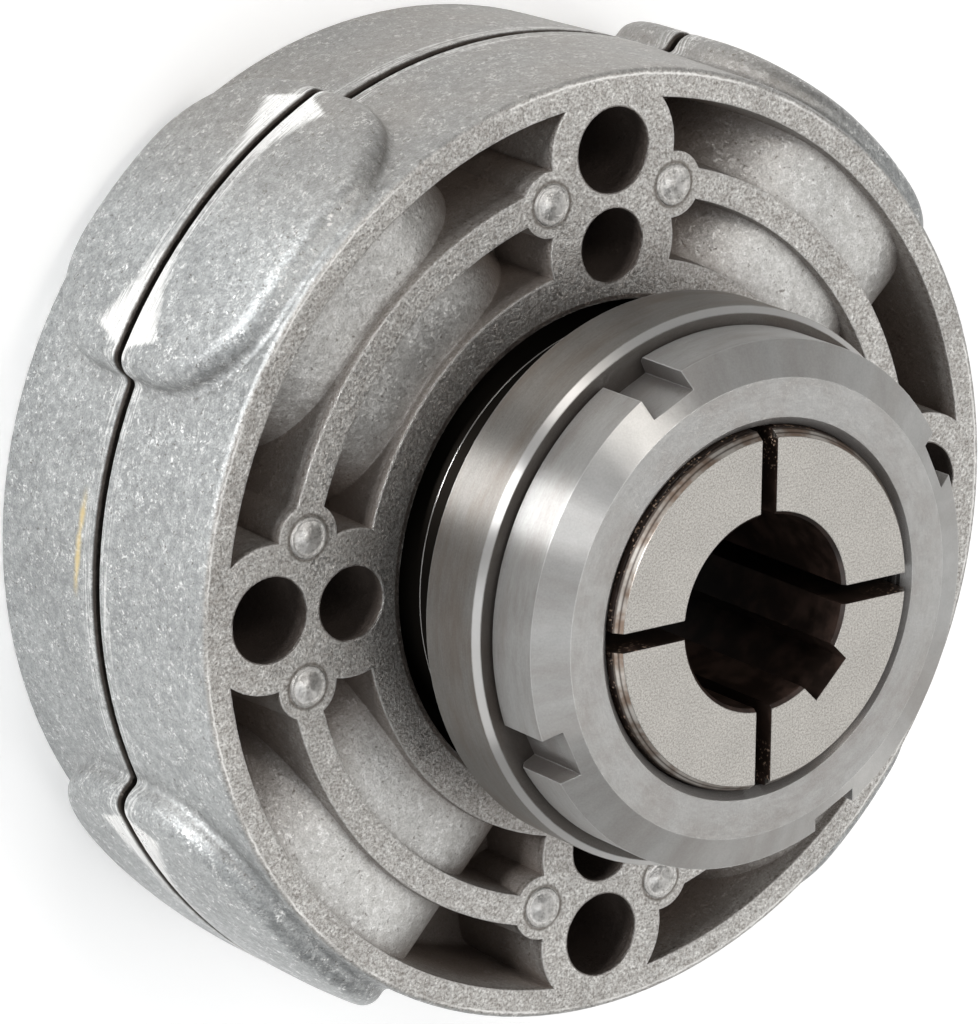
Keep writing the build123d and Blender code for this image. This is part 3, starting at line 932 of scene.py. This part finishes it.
def rubber_finish():
    """Matt black, with a paler bloom and the pebbled skin of the mould."""
    finish, tree, shader = new_finish("black_rubber")
    where = Spot(tree).where
    bloom = noise(tree, where, 5.0, 4.0, 0.6)
    pebble = noise(tree, where, 0.6, 2.0, 0.6)
    feed(tree, shader.inputs["Base Color"], tint(tree, bloom, RUBBER_DARK, RUBBER_BLOOM))
    feed(tree, shader.inputs["Roughness"], calc(tree, "MULTIPLY_ADD", bloom, 0.25, 0.5))
    feed(tree, shader.inputs["Normal"], bump(tree, pebble, 0.05))
    return finish


black_rubber = rubber_finish()

# %% Cushions
POCKETS = {1: 45.0, 2: 135.0, 3: 225.0, 4: 315.0}
CUSHION_ROUND = 1.6
ROUND_STEPS = 3
ROUNDED_FROM = math.radians(40)
WELD_DISTANCE = 0.002
FLAT_ANGLE = math.radians(1.0)


def rounded_copy(node_name, piece_name):
    """Copy of a solid with its flat faces whole again and its sharp edges rounded."""
    mesh = nodes[node_name].data.copy()
    mesh.name = piece_name
    work = bmesh.new()
    work.from_mesh(mesh)
    bmesh.ops.remove_doubles(work, verts=work.verts, dist=WELD_DISTANCE * MM)
    bmesh.ops.dissolve_limit(work, angle_limit=FLAT_ANGLE, verts=work.verts, edges=work.edges)
    work.to_mesh(mesh)
    work.free()
    copy = bpy.data.objects.new(piece_name, mesh)
    bpy.context.scene.collection.objects.link(copy)
    mesh.materials.clear()
    mesh.materials.append(black_rubber)
    soften = copy.modifiers.new("rounded edges", "BEVEL")
    soften.width = CUSHION_ROUND * MM
    soften.segments = ROUND_STEPS
    soften.limit_method = "ANGLE"
    soften.angle_limit = ROUNDED_FROM
    return copy


for number, angle in POCKETS.items():
    for side, sign in (("left", 1), ("right", -1)):
        node_name = f"cushion_{number}_{side}"
        cushion = rounded_copy(node_name, f"rubber_{number}_{side}")
        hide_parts(node_name)
        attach(cushion, "housing")
        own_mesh(cushion)
print("rubber cushions:", 2 * len(POCKETS))

# %% [markdown]
# ## Screw threads
# The sleeve and the nut meet in a fine thread. The solids have plain cylinders there, so the
# thread is added as one long ridge that winds round each of them, 2 mm of height to a turn. A
# bump would do for the eye, but not for a copy that is printed or measured. The ridge on the
# sleeve stops at each slit. The nut's ridge starts at another angle, so that the two run in each
# other's grooves.

# %% From outline to piece
def new_piece(name, work, finish, smooth):
    """Turns the faces outwards, and makes the finished mesh an object."""
    bmesh.ops.recalc_face_normals(work, faces=work.faces)
    for face in work.faces:
        face.smooth = smooth
    mesh = bpy.data.meshes.new(name)
    work.to_mesh(mesh)
    work.free()
    mesh.materials.append(finish)
    piece = bpy.data.objects.new(name, mesh)
    bpy.context.scene.collection.objects.link(piece)
    return piece


# %% Thread ridges
PITCH = 2.0
STEPS_TO_A_TURN = 72
RIDGE_FOOT = 0.85
RIDGE_CREST = 0.12
SLITS = (0.0, 90.0, 180.0, 270.0)
SLIT_HALF_WIDTH = 1.55


def thread_ridge(name, base, tip, start, end, first_angle, finish, slit_half_width=0.0):
    """Ridge that winds from the height start to end, between the radii base and tip."""
    outline = ((base, -RIDGE_FOOT), (tip, -RIDGE_CREST), (tip, RIDGE_CREST), (base, RIDGE_FOOT))
    work = bmesh.new()
    last = None
    for step in range(int((end - start) / PITCH * STEPS_TO_A_TURN) + 1):
        angle = first_angle + 360.0 * step / STEPS_TO_A_TURN
        height = start + PITCH * step / STEPS_TO_A_TURN
        off = min(abs((angle - slit + 180) % 360 - 180) for slit in SLITS)
        if math.radians(off) * base < slit_half_width:
            if last:
                work.faces.new(reversed(last))
            last = None
            continue
        ring = [
            work.verts.new(outward(angle) * r * MM + Vector((0, 0, (height + lift) * MM)))
            for r, lift in outline
        ]
        if last:
            for a in range(4):
                b = (a + 1) % 4
                work.faces.new((last[a], last[b], ring[b], ring[a]))
        else:
            work.faces.new(ring)
        last = ring
    if last:
        work.faces.new(reversed(last))
    return new_piece(name, work, finish, smooth=False)


# %% Threads
sleeve_thread = thread_ridge(
    "sleeve_thread", base=27.98, tip=28.22, start=78.5, end=91.6, first_angle=0.0,
    finish=sleeve_finish, slit_half_width=SLIT_HALF_WIDTH,
)
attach(sleeve_thread, "clamping_sleeve")
nut_thread = thread_ridge(
    "nut_thread", base=28.32, tip=28.08, start=80.8, end=90.6, first_angle=234.0,
    finish=nut_steel,
)
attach(nut_thread, "ring_nut")
for thread in (sleeve_thread, nut_thread):
    print(thread.name, len(thread.data.polygons), "faces")

# %% [markdown]
# ## A step on the neck
# Just behind the collar a thin turned edge catches the light in the dark of the gap. It is a
# narrow step on the hub's neck. A lathe makes such a shape by turning, and so does this cell: a
# small outline is turned round the shaft axis. The step is painted black like the neck, a painted
# shade, and its front edge is a ring of its own in a much lighter steel, a painted highlight.

# %% Neck step
RING_STEPS = 160
NECK_STEP = ((35.9, 58.3), (37.9, 58.3), (37.9, 66.4), (35.9, 66.4))
NECK_EDGE = (
    (36.2, 57.7), (37.45, 57.7), (37.7, 57.8), (37.85, 58.0), (37.9, 58.3), (36.2, 58.3)
)


def turned_ring(name, outline, finish):
    """Closed outline of (radius, height) points in millimetres, turned round the shaft axis."""
    work = bmesh.new()
    rows = []
    for step in range(RING_STEPS):
        angle = math.tau * step / RING_STEPS
        rows.append([
            work.verts.new(Vector((r * math.cos(angle), r * math.sin(angle), level)) * MM)
            for r, level in outline
        ])
    for step, row in enumerate(rows):
        following = rows[(step + 1) % RING_STEPS]
        for point in range(len(outline)):
            nearby = (point + 1) % len(outline)
            work.faces.new((row[point], following[point], following[nearby], row[nearby]))
    return new_piece(name, work, finish, smooth=True)


# painted highlight: a steel far lighter than the hub's, for the thin edge in the dark gap
edge_highlight = turned_steel(
    "bright_edge_steel", dark=(0.70, 0.69, 0.67, 1), light=(0.90, 0.89, 0.87, 1),
    roughness=0.30, stain=0.3,
)
neck_step = turned_ring("neck_step", NECK_STEP, hub_steel)
neck_edge = turned_ring("neck_edge", NECK_EDGE, edge_highlight)
for piece in (neck_step, neck_edge):
    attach(piece, "hub")
    print(piece.name, len(piece.data.polygons), "faces")

# %% [markdown]
# ## Ejector marks
# Pins push the casting out of its die and leave a round mark on each small boss beside the bolt
# holes: a flat disc with a slightly raised, uneven lip. Each mark here is a thin mesh of rings
# that stands a third of a millimetre proud of the casting at most. The lip's waves are drawn by
# lot, with a fixed seed for each mark, so that no two marks are alike and each run gives the same
# ones.

# %% Ejector marks
LIP = (
    (0.0, 0.10), (1.1, 0.07), (2.2, 0.08), (2.6, 0.12),
    (2.75, 0.26), (2.95, 0.30), (3.12, 0.22), (3.3, -0.05),
)
MARK_STEPS = 40
WAVES = 4


def ejector_mark(name, centre, seed):
    """Disc with a wavy lip, built ring by ring from its middle point, and closed below."""
    work = bmesh.new()
    dice = random.Random(seed)
    wave = [dice.uniform(-1, 1) for _ in range(WAVES)]
    middle_point = work.verts.new(centre + Vector((0, 0, LIP[0][1] * MM)))
    inner = None
    for radius, lift in LIP[1:]:
        ring = []
        for step in range(MARK_STEPS):
            angle = math.tau * step / MARK_STEPS
            uneven = sum(
                part * math.sin((order + 2) * angle + 7 * part)
                for order, part in enumerate(wave)
            )
            reach = radius * (1 + 0.012 * uneven)
            level = lift + 0.02 * uneven * (lift > 0) + 0.012 * dice.uniform(-1, 1)
            ring.append(work.verts.new(centre + Vector((
                reach * math.cos(angle) * MM, reach * math.sin(angle) * MM, level * MM
            ))))
        for step in range(MARK_STEPS):
            following = (step + 1) % MARK_STEPS
            if inner is None:
                work.faces.new((middle_point, ring[step], ring[following]))
            else:
                work.faces.new((inner[step], ring[step], ring[following], inner[following]))
        inner = ring
    work.faces.new(inner)
    mark = new_piece(name, work, cast_finish, smooth=True)
    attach(mark, "housing")
    return mark


# %% Marks on the four pads
for pad in range(4):
    spin = Matrix.Rotation(math.radians(90 * pad), 3, "Z")
    for side, offset in (("left", PIN_OFFSET), ("right", -PIN_OFFSET)):
        centre = spin @ (Vector((PIN_DISTANCE, offset, FACE_HEIGHT)) * MM)
        mark = ejector_mark(f"ejector_mark_{pad + 1}_{side}", centre, 2 * pad + (offset > 0))
print("ejector marks: 8, each", len(mark.data.polygons), "faces")
